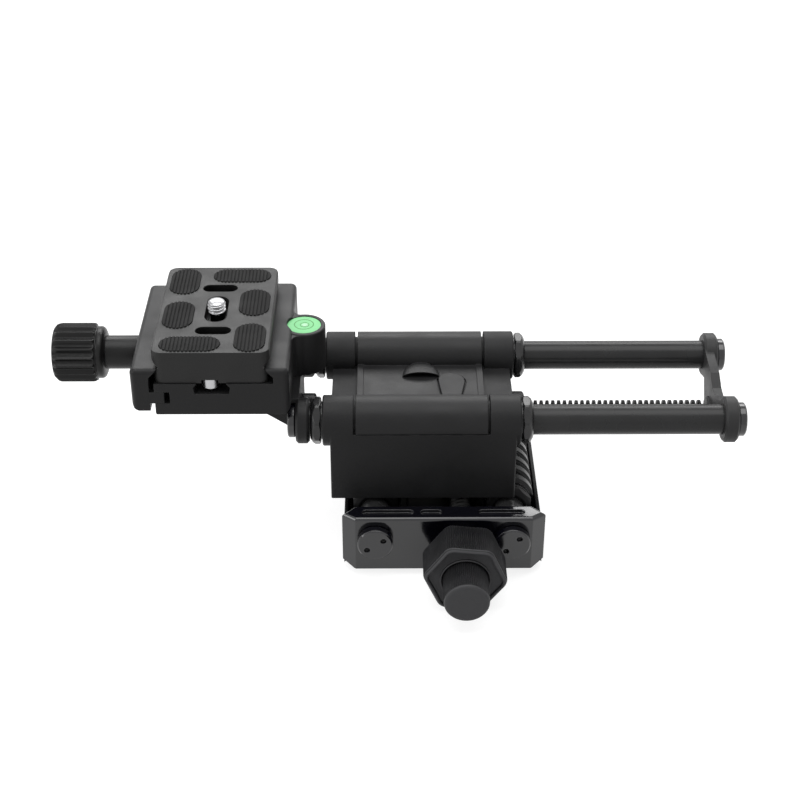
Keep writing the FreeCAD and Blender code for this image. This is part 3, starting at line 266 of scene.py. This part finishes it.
def surface(name, colour, rough, specular, grain, bump, metallic=0.0, mottle=0.25, rough_spread=0.08,
            wear=0.25, wear_colour=(0.16, 0.16, 0.165), edge=0.00025):
    """One finished surface: mottled colour and roughness, fine grain in height, edges painted lighter, partly
    as wear and partly as painted highlight.
    """
    mat, tree, shader = principled(name)
    shader.inputs["Metallic"].default_value = metallic
    shader.inputs["Specular IOR Level"].default_value = specular
    place = object_place(tree)
    cloud = make_noise(tree, place, CLOUD_SCALE, 5.0)
    fine = make_noise(tree, place, grain, 3.0)

    dark = tuple(c * (1 - mottle) for c in colour)
    light = tuple(min(1.0, c * (1 + mottle)) for c in colour)
    tint = mixed(tree, cloud, dark, light)
    mask, rounded = edge_mask(tree, edge * EDGE_REACH)
    # lighter colour along the edges in patches: partly edge wear, partly a painted highlight standing in for
    # the light that edges catch
    patch = ramp(tree, make_noise(tree, place, PATCH_SCALE, 4.0), [(0.42, 0.0), (0.62, 1.0)])
    worn_and_lit_edge = math_node(tree, "MULTIPLY", math_node(tree, "MULTIPLY", mask, patch), wear)
    tree.links.new(mixed(tree, worn_and_lit_edge, tint, wear_colour), shader.inputs["Base Color"])

    spread = tree.nodes.new("ShaderNodeMapRange")
    spread.inputs["From Min"].default_value = 0.3
    spread.inputs["From Max"].default_value = 0.7
    spread.inputs["To Min"].default_value = max(0.03, rough - rough_spread)
    spread.inputs["To Max"].default_value = min(1.0, rough + rough_spread)
    tree.links.new(cloud, spread.inputs["Value"])
    tree.links.new(spread.outputs["Result"], shader.inputs["Roughness"])

    bumps = roughened(tree, shader, fine, bump)
    tree.links.new(rounded, bumps.inputs["Normal"])
    return mat


def make_materials():
    """Every material by a short key; each has a name, colour, roughness, specular, grain and bump."""
    made = {}

    def add(key, *looks, **more):
        made[key] = surface(*looks, **more)

    add("satin", "satin_black", (0.013, 0.013, 0.0135), 0.42, 0.18, 2600.0, 0.25, wear=0.16)
    add("cover", "cover_black", (0.014, 0.014, 0.0145), 0.44, 0.19, 2800.0, 0.28, wear=0.18)
    add("plate", "plate_black", (0.006, 0.006, 0.006), 0.46, 0.29, 3200.0, 0.35, wear=0.22)
    add("skirt", "skirt_black", (0.0135, 0.0135, 0.014), 0.52, 0.17, 3000.0, 0.30, wear=0.16)
    add("base", "base_black", (0.006, 0.006, 0.0065), 0.50, 0.12, 2600.0, 0.25, wear=0.12)
    add("gloss", "gloss_black", (0.0015, 0.0015, 0.0035), 0.15, 0.68, 1500.0, 0.05,
        wear=0.30, wear_colour=(0.20, 0.20, 0.21), rough_spread=0.04)
    add("nut", "nut_black", (0.012, 0.012, 0.0125), 0.26, 0.40, 1800.0, 0.10, wear=0.22)
    add("tube", "tube_black", (0.024, 0.024, 0.0245), 0.27, 0.20, 1500.0, 0.05, wear=0.1, rough_spread=0.05)
    # knob ribs: the lighter edge colour on the crests is partly wear, partly a painted highlight
    add("knob", "knob_plastic", (0.016, 0.016, 0.0172), 0.46, 0.20, 3600.0, 0.12,
        wear=0.5, wear_colour=(0.10, 0.10, 0.105), edge=0.00006)
    add("knob_face", "knob_face", (0.052, 0.052, 0.055), 0.58, 0.25, 3600.0, 0.40,
        wear=0.25, wear_colour=(0.12, 0.12, 0.125))
    # ribs: near-black with a strong light edge colour, a painted highlight on each rib's rim
    add("ribs", "rib_black", (0.003, 0.003, 0.0035), 0.22, 0.22, 2600.0, 0.20,
        wear=1.0, wear_colour=(0.34, 0.34, 0.35), edge=0.00012)
    add("rod", "rod_black", (0.002, 0.002, 0.0022), 0.36, 0.08, 2200.0, 0.15,
        wear=0.2, wear_colour=(0.10, 0.10, 0.10), edge=0.0001)
    add("bracket", "bracket_black", (0.028, 0.028, 0.0285), 0.46, 0.20, 2600.0, 0.25, wear=0.2)
    add("clamp_knob", "knob_metal", (0.007, 0.007, 0.007), 0.34, 0.22, 2600.0, 0.25, wear=0.2, edge=0.00012)
    add("rubber", "pad_rubber", (0.012, 0.012, 0.012), 0.75, 0.15, 4200.0, 0.5,
        wear=0.5, wear_colour=(0.09, 0.09, 0.09), edge=0.00008)
    add("steel", "steel", (0.42, 0.42, 0.43), 0.30, 0.5, 2200.0, 0.12, metallic=1.0, mottle=0.10,
        wear=0.4, wear_colour=(0.62, 0.62, 0.62), edge=0.0001)
    # darkened steel: on the camera screw's neck it is painted shade; the lead screw is simply darker
    add("black_steel", "black_steel", (0.03, 0.03, 0.03), 0.38, 0.5, 2200.0, 0.12, metallic=1.0, mottle=0.2,
        wear=0.3)
    add("brass", "brass", (0.62, 0.44, 0.17), 0.32, 0.5, 2200.0, 0.15, metallic=1.0, mottle=0.15,
        wear=0.4, wear_colour=(0.80, 0.62, 0.30))
    add("liner", "liner_plastic", (0.03, 0.03, 0.03), 0.5, 0.3, 2600.0, 0.2)
    return made


def level_materials(materials):
    """The level's green liquid with a painted glow, its case, its printed ring and its bubble."""
    mat, tree, shader = principled("level_green")
    shader.inputs["Specular IOR Level"].default_value = 0.12
    # painted glow: emission brightens the liquid as if it were lit; the liquid gives no light
    shader.inputs["Emission Strength"].default_value = 0.16
    shader.inputs["Emission Color"].default_value = (0.20, 0.62, 0.30, 1)
    cloud = make_noise(tree, object_place(tree), 240.0, 3.0)
    tree.links.new(mixed(tree, cloud, (0.15, 0.46, 0.18), (0.24, 0.58, 0.28)), shader.inputs["Base Color"])
    tree.links.new(ramp(tree, cloud, [(0.3, 0.34), (0.7, 0.46)]), shader.inputs["Roughness"])
    roughened(tree, shader, cloud, 0.02)
    materials["level_green"] = mat
    for name, *looks in (("level_case", (0.05, 0.30, 0.10), 0.35, 0.2, 1500.0, 0.05),
                         ("level_mark", (0.06, 0.22, 0.06), 0.4, 0.15, 1500.0, 0.02),
                         ("level_bubble", (0.40, 0.68, 0.44), 0.3, 0.2, 1500.0, 0.02)):
        materials[name] = surface(name, *looks, wear=0.0)


def dress(materials, name, *nodes):
    """Give one material to the solid model's nodes."""
    for node in nodes:
        obj = NODES[node]
        obj.data.materials.clear()
        obj.data.materials.append(materials[name])


# ================= mesh helpers (millimetres in, metres out) =================
def place_of(node):
    """Middle, lowest and highest corner of a node of the solid model, in millimetres to 0.01."""
    low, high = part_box(node)
    return [[round(c / MM, 2) for c in corner] for corner in ((low + high) / 2, low, high)]


def make_piece(name, verts, faces, material, body, smooth_angle):
    """Closed piece on a body, smooth except where faces meet at more than the angle."""
    mesh = bpy.data.meshes.new(name)
    mesh.from_pydata([tuple(c * MM for c in v) for v in verts], [], faces)
    mesh.validate()
    work = bmesh.new()
    work.from_mesh(mesh)
    bmesh.ops.remove_doubles(work, verts=work.verts, dist=1e-7)
    bmesh.ops.recalc_face_normals(work, faces=work.faces)
    work.to_mesh(mesh)
    work.free()
    mesh.polygons.foreach_set("use_smooth", [True] * len(mesh.polygons))
    mesh.set_sharp_from_angle(angle=math.radians(smooth_angle))
    mesh.materials.append(material)
    obj = bpy.data.objects.new(name, mesh)
    bpy.context.scene.collection.objects.link(obj)
    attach(obj, body)
    return obj


def frame_axes(direction):
    """Unit vector along a direction and two across it."""
    d = Vector(direction).normalized()
    helper = Vector(UP) if abs(d.z) < 0.9 else Vector((1, 0, 0))
    a = d.cross(helper).normalized()
    b = d.cross(a)
    return d, a, b


def lathe(name, rings, count, origin, direction, material, body, smooth_angle, ends=True):
    """Turned piece of rings; each is (distance along, radius), with one radius or a list of count.

    With ends, flat faces close the first and the last ring. Without, these two rings are the same.
    """
    d, a, b = frame_axes(direction)
    base = Vector(origin)
    verts, faces = [], []
    for along, radius in rings:
        for i in range(count):
            r = radius[i] if isinstance(radius, list) else radius
            angle = 2 * math.pi * i / count
            verts.append(base + d * along + a * (r * math.cos(angle)) + b * (r * math.sin(angle)))
    for k in range(len(rings) - 1):
        for i in range(count):
            j = (i + 1) % count
            faces.append((k * count + i, k * count + j, (k + 1) * count + j, (k + 1) * count + i))
    if ends:
        first = range(count)
        last = range((len(rings) - 1) * count, len(rings) * count)
        faces += [tuple(reversed(first)), tuple(last)]
    return make_piece(name, verts, faces, material, body, smooth_angle)


THREAD_COUNT = 48   # points round a thread


def thread_rings(r_root, r_crest, pitch, length, crest=0.35):
    """Rings of a bar with a helical thread; the radius follows angle and distance."""
    rows = int(length / pitch * 12)
    flank = 0.65    # share of half a turn from root to crest
    rings = []
    for k in range(rows + 1):
        along = length * k / rows
        fade = min(1.0, along / (0.5 * pitch), (length - along) / (0.5 * pitch))
        radii = []
        for i in range(THREAD_COUNT):
            phase = (along / pitch - i / THREAD_COUNT) % 1.0
            height = min(1.0, max(0.0, (abs(phase - 0.5) * 2 - (0.5 - crest)) / flank))
            radii.append(r_root + (r_crest - r_root) * height * max(0.0, fade))
        rings.append((along, radii))
    return rings


# ================= camera screw =================
def make_camera_screw(materials):
    """Thread with a domed tip, a thin neck in the plate's slot and a plain head in its well; the neck is
    painted dark as shade in the slot.
    """
    (x, y, _), (_, _, bottom), (_, _, top) = place_of("camera_screw")
    steel, neck_shade = materials["steel"], materials["black_steel"]
    start = top - 4.7
    thread = lathe("camera_screw_thread", thread_rings(2.55, 3.16, 1.27, 4.1), THREAD_COUNT,
                   (x, y, start), UP, steel, "camera_screw", 50)
    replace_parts(thread, "camera_screw")
    tip = [(top - 1.3, 2.5), (top - 1.0, 2.95), (top - 0.7, 2.85), (top - 0.4, 2.5), (top - 0.15, 1.9),
           (top - 0.02, 1.1), (top, 0.3)]
    neck = [(bottom + 3.1, 2.42), (start + 0.2, 2.42)]
    head = [(bottom, 5.4), (bottom + 0.2, 5.7), (bottom + 0.5, 5.8), (bottom + 2.9, 5.8), (bottom + 3.2, 5.7),
            (bottom + 3.3, 5.4)]
    # the neck takes the darkened steel: painted shade where it sits down in the plate's slot; the tip and
    # head are plain steel
    for name, rings, material in (("camera_screw_tip", tip, steel), ("camera_screw_neck", neck, neck_shade),
                                  ("camera_screw_head", head, steel)):
        lathe(name, rings, 64, (x, y, 0), UP, material, "camera_screw", 30)


# ================= level =================
def make_level(materials):
    """Green case and domed liquid, a ring and the outline of the bubble on it, and the bubble."""
    (x, y, _), _, (_, _, highest) = place_of("bubble_vial")
    rim = highest - 0.15
    r = 5.9
    bubble_x, bubble_y = x + 0.25, y - 0.35

    def part(name, rings, count, place, material, smooth_angle=40, ends=True):
        return lathe(name, rings, count, place, UP, materials[material], "upper_rail",
                     smooth_angle, ends)

    def printed_ring(name, r_in, r_out, z0, z1, place):
        corners = [(z0, r_in), (z1, r_in), (z1, r_out), (z0, r_out), (z0, r_in)]
        part(name, corners, 72, place, "level_mark", ends=False)

    case = [(rim - 4.95, r), (rim - 0.4, r), (rim - 0.32, r - 0.02), (rim - 0.3, r - 0.1)]
    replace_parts(part("level_case", case, 96, (x, y, 0), "level_case"), "bubble_vial")
    liquid = [(rim - 0.7, r), (rim - 0.2, r), (rim - 0.06, 5.5), (rim + 0.02, 4.2), (rim + 0.1, 2.8),
              (rim + 0.13, 1.4), (rim + 0.14, 0.2)]
    part("level_liquid", liquid, 96, (x, y, 0), "level_green")
    printed_ring("level_ring", 3.20, 3.42, rim - 0.1, rim + 0.11, (x, y, 0))
    printed_ring("level_bubble_edge", 1.42, 1.60, rim, highest, (bubble_x, bubble_y, 0))
    quarter = [k / 8 * math.pi / 2 for k in range(9)]
    bubble = [(0.05 * math.sin(t), max(0.02, 1.45 * math.cos(t))) for t in quarter]
    part("level_bubble", bubble, 48, (bubble_x, bubble_y, rim + 0.1), "level_bubble", smooth_angle=60)


# ================= knobs =================
def face_material(obj, material, wanted):
    """Give the faces whose middle, in millimetres, is wanted a second material."""
    obj.data.materials.append(material)
    for polygon in obj.data.polygons:
        if wanted(polygon.center / MM):
            polygon.material_index = 1


def hexagon_radius(angle, corner, tilt, round_r):
    """Distance from the centre to a hexagon with rounded corners, at an angle."""
    step = math.pi / 3
    rel = (angle - tilt) % step
    rel = min(rel, step - rel)
    flat = corner * math.cos(step / 2)
    to_flat = flat / math.cos(step / 2 - rel)
    # circle that rounds the corner
    centre = corner - round_r / math.cos(step / 2)
    inside = round_r * round_r - (centre * math.sin(rel)) ** 2
    if inside > 0:
        to_round = centre * math.cos(rel) + math.sqrt(inside)
        touch = math.atan2(round_r * math.sin(step / 2), centre + round_r * math.cos(step / 2))
        if rel < touch:
            return to_round
    return to_flat


def groove(phase, sharp):
    """Depth of a rounded groove, from 0 to 1, at a share of its width; a lower sharp makes it wider."""
    return (0.5 - 0.5 * math.cos(2 * math.pi * phase)) ** sharp


def make_drive_knob(materials):
    """Six-sided knob: ribbed sides, plain rim, sunk face and a cup round the lock knob."""
    (_, face, _), (_, back, _) = place_of("drive_knob")[1:]
    (x, _, z), _, _ = place_of("lead_screw")
    length = back - face
    reach = 14.3                # of the corners, which a circle cuts off
    corner = reach * 1.035
    tilt = math.radians(-6)
    bore = 3.02
    deep = 0.55                 # of the grooves
    ribs = 120
    per_rib = 6
    count = ribs * per_rib
    # the lathe measures its angles in its own plane; a is +X or -X and b is up or down there
    a, b = frame_axes((0, 1, 0))[1:]
    outline = []
    for i in range(count):
        angle = 2 * math.pi * i / count
        side = a.x * math.cos(angle) + b.x * math.sin(angle)
        up = a.z * math.cos(angle) + b.z * math.sin(angle)
        outline.append(min(hexagon_radius(math.atan2(up, side), corner, tilt, 3.8), reach))

    def ring(along, inset, depth):
        return along, [r - inset - depth * groove(i % per_rib / per_rib, 0.7) for i, r in enumerate(outline)]

    rings = [(6.0, bore), (4.02, bore), (4.0, 7.98), (0.5, 8.0), (0.3, 8.03), (0.2, 8.12), (0.2, 8.4),
             (0.35, 8.55), (0.98, 8.6),
             ring(1.0, 2.2, 0.0), ring(0.95, 1.9, 0.0), ring(0.35, 1.7, 0.0), ring(0.1, 1.5, 0.0),
             ring(0.0, 1.2, 0.0), ring(0.12, 0.9, 0.0), ring(0.45, 0.55, 0.0), ring(0.9, 0.30, 0.0),
             ring(1.15, 0.22, 0.0), ring(1.5, 0.05, deep), ring(1.8, 0.0, deep),
             ring(length * 0.5, 0.0, deep), ring(length - 2.2, 0.0, deep), ring(length - 1.5, 0.25, deep),
             ring(length - 0.8, 0.8, 0.15), ring(length - 0.2, 1.5, 0.0), ring(length, 2.0, 0.0),
             (length, 5.0), (length, bore)]
    knob = lathe("drive_knob_body", rings, count, (x, face, z), (0, 1, 0), materials["knob"],
                 "lead_screw", 40, ends=False)
    face_material(knob, materials["knob_face"], lambda c: face + 0.85 < c.y < face + 1.1 or c.y < face + 0.4)
    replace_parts(knob, "drive_knob")


def fluted_ring(along, count, flutes, r, depth, sharp):
    """Ring with rounded grooves."""
    return along, [r - depth * groove(i * flutes / count % 1.0, sharp) for i in range(count)]


def make_ribbed_knob(name, node, body, inward, materials, r, ribs, bore=2.1, bore_depth=1.2):
    """Round, finely ribbed knob; inward, 1 or -1, is the way along Y from its plain face."""
    (x, _, z), low, high = place_of(node)
    face = low[1] if inward > 0 else high[1]
    length = high[1] - low[1]
    count = ribs * 6
    deep = 0.52     # of the grooves

    def ring(along, radius, depth):
        return fluted_ring(along, count, ribs, radius, depth, 0.6)

    rings = [(0.0, 0.4), (0.0, r * 0.6), (0.02, r - 1.3), (0.15, r - 0.75), (0.42, r - 0.35), (0.8, r - 0.12),
             ring(1.1, r - 0.08, 0.0), ring(1.5, r, deep), ring(length * 0.5, r, deep),
             ring(length - 1.0, r, deep), ring(length - 0.5, r - 0.1, 0.2), (length - 0.1, r - 0.5),
             (length, r - 0.9), (length, bore), (bore_depth, bore)]
    knob = lathe(name, rings, count, (x, face, z), (0, inward, 0), materials["knob"],
                 body, 40)
    face_material(knob, materials["knob_face"], lambda c: abs(c.y - face) < 0.7)
    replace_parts(knob, node)


def make_clamp_knob(materials):
    """Knob with twenty rounded flutes between its flat face and a flange, on its long sleeve."""
    (_, y, z), (face, _, _), (end, _, _) = place_of("clamp_knob")
    flutes = 20
    count = flutes * 14
    fluted = 14.9           # length of the fluted part
    deep = 1.25
    sleeve = end - face     # from the knob's face to the end of its sleeve
    sleeve_r = 5.9
    bore = 3.02

    def ring(along, radius, depth):
        return fluted_ring(along, count, flutes, radius, depth, 0.7)

    rings = [(0.0, 0.3), (0.0, 7.2), (0.05, 8.2), (0.25, 9.0),
             ring(0.6, 9.4, deep * 0.35), ring(1.1, 9.95, deep * 0.7), ring(1.8, 10.25, deep),
             ring(2.4, 10.38, deep), ring(fluted * 0.5, 10.38, deep), ring(fluted - 1.6, 10.38, deep),
             ring(fluted - 0.8, 10.3, deep), ring(fluted - 0.3, 10.0, deep * 0.6),
             (fluted - 0.05, 9.4), (fluted, 8.9), (fluted + 0.35, 8.8), (fluted + 0.45, 9.05),
             (fluted + 0.6, 9.15), (fluted + 1.7, 9.15), (fluted + 2.1, 9.0), (fluted + 2.6, 8.6),
             (fluted + 3.1, 7.5), (fluted + 3.25, 6.4), (fluted + 3.3, sleeve_r),
             (sleeve - 0.4, sleeve_r), (sleeve - 0.15, 5.8), (sleeve, 5.5), (sleeve, bore), (7.7, bore)]
    knob = lathe("clamp_knob_body", rings, count, (face, y, z), (1, 0, 0), materials["clamp_knob"],
                 "clamp_knob", 45)
    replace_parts(knob, "clamp_knob")


# ================= lead screw =================
def make_lead_screw(materials):
    """Thread between the plain front end, which the knob sits on, and the plain rear end."""
    (x, _, z), (_, front, _), (_, rear, _) = place_of("lead_screw")
    start, end = -50.6, 56.4    # of the thread
    plain_r = 2.98
    steel = materials["black_steel"]
    thread = lathe("lead_screw_thread", thread_rings(3.1, 3.98, 2.0, end - start, crest=0.3), THREAD_COUNT,
                   (x, start, z), (0, 1, 0), steel, "lead_screw", 50)
    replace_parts(thread, "lead_screw")
    front_end = [(front, 2.0), (-78.3, 2.0), (-78.3, plain_r), (start + 0.1, plain_r)]
    rear_end = [(end - 0.1, plain_r), (rear - 0.2, plain_r), (rear, 2.8)]
    for name, rings in (("lead_screw_front", front_end), ("lead_screw_rear", rear_end)):
        lathe(name, rings, 48, (x, 0, z), (0, 1, 0), steel, "lead_screw", 40)


# ================= the scene =================
make_camera()
make_world()
make_lights()
make_floor(cad_box[0][2] - FLOOR_GAP)

M = make_materials()
level_materials(M)

dress(M, "satin", "head_bracket", "rear_bracket", "clamp_body", "clamp_jaw", "screw_bush")
dress(M, "bracket", "end_bracket")
dress(M, "cover", "top_cover")
dress(M, "skirt", "upper_saddle")
dress(M, "base", "base_plate", "lower_nuts")
dress(M, "plate", "quick_release_plate")
dress(M, "gloss", "front_end_plate", "upper_left_caps", "upper_right_caps", "lower_front_caps",
      "lower_rear_caps")
dress(M, "nut", "upper_nuts")
dress(M, "tube", "upper_tubes", "lower_tubes")
dress(M, "rod", "toothed_rod")
dress(M, "ribs", "lower_saddle")
dress(M, "steel", "tripod_insert", "base_screws", "thrust_collar", "saddle_screws", "nut_screws",
      "head_screws", "clamp_screw", "guide_pins", "pinion_shaft", "stop_screw")
dress(M, "brass", "drive_nut", "pinion", "pinion_bushes")
dress(M, "liner", "upper_liners", "lower_liners")
dress(M, "rubber", "rubber_pads")

make_camera_screw(M)
make_level(M)
make_drive_knob(M)
make_ribbed_knob("lock_knob_body", "lock_knob", "drive_lock", 1, M, r=7.7, ribs=72)
make_clamp_knob(M)
make_lead_screw(M)
make_ribbed_knob("focus_knob_body", "focus_knob", "pinion", -1, M, r=9.0, ribs=60, bore=2.52, bore_depth=0.0)
make_ribbed_knob("focus_lock_body", "focus_lock_knob", "focus_lock", -1, M, r=5.5, ribs=40, bore=1.6)

bpy.context.scene.view_settings.view_transform = "Standard"
